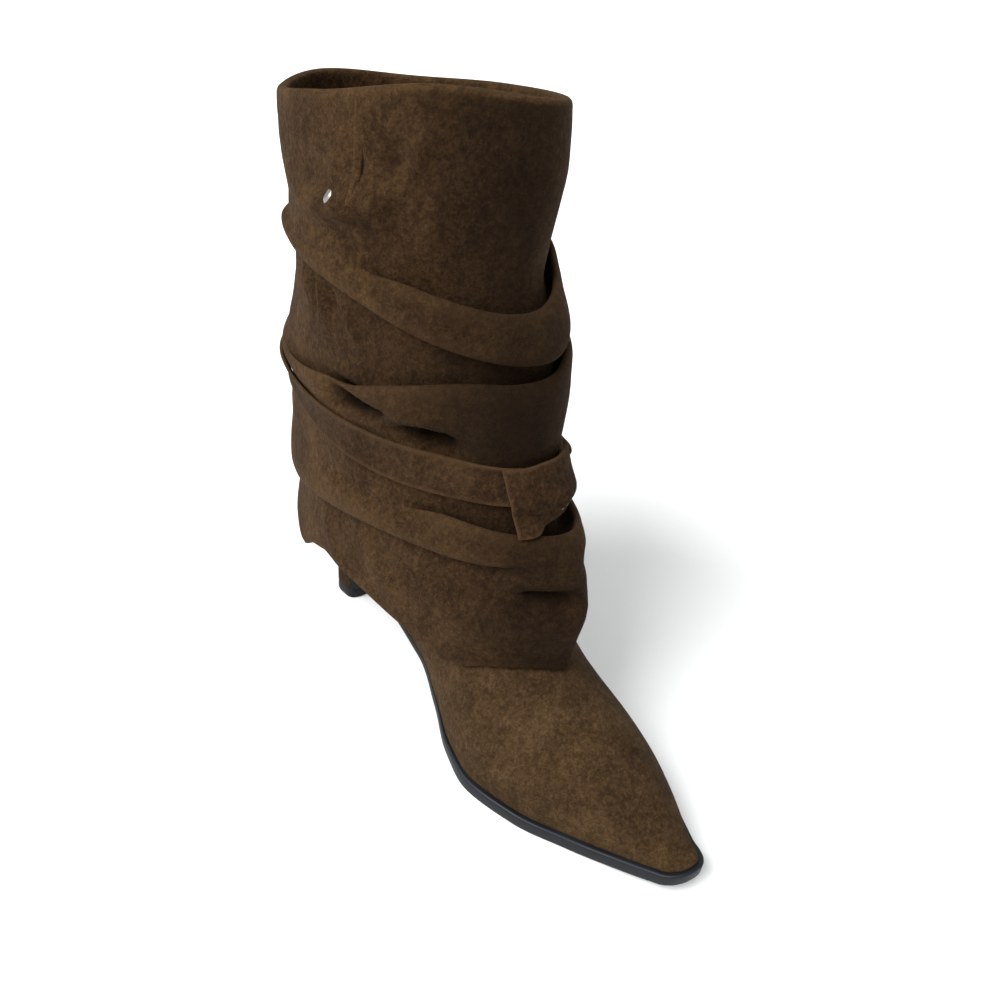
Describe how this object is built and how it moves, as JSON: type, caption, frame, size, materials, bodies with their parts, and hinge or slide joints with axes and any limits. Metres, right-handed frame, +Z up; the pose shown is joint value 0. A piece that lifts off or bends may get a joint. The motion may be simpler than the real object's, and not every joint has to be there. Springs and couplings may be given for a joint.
{
  "type": "slouch ankle boot",
  "caption": "Suede slouch boot with a pointed toe, slim block heel, folded sleeve round the ankle, strap through a loop and a snap.",
  "frame": {"origin": "on the floor under the middle of the heel", "axes": "+Z up, the toe points to -Y, the medial side is -X"},
  "size_m": [0.101, 0.2859, 0.2797],
  "materials": {
    "upper_suede": "light olive-brown suede",
    "sleeve_suede": "olive-brown suede",
    "strap_suede": "olive-brown suede",
    "heel_suede": "olive-brown suede over the heel",
    "sole_black": "satin black",
    "lining": "dark grey matte lining",
    "snap_metal": "silver, polished"
  },
  "bodies": {
    "root": {"outsole": "sole_black", "heel_block": "heel_suede", "heel_breast": "sole_black", "top_lift": "sole_black", "insole": "lining", "upper": "upper_suede", "slouch_sleeve": "sleeve_suede", "ankle_strap": "strap_suede", "strap_loop": "strap_suede", "snap": "snap_metal"}
  },
  "joints": []
}
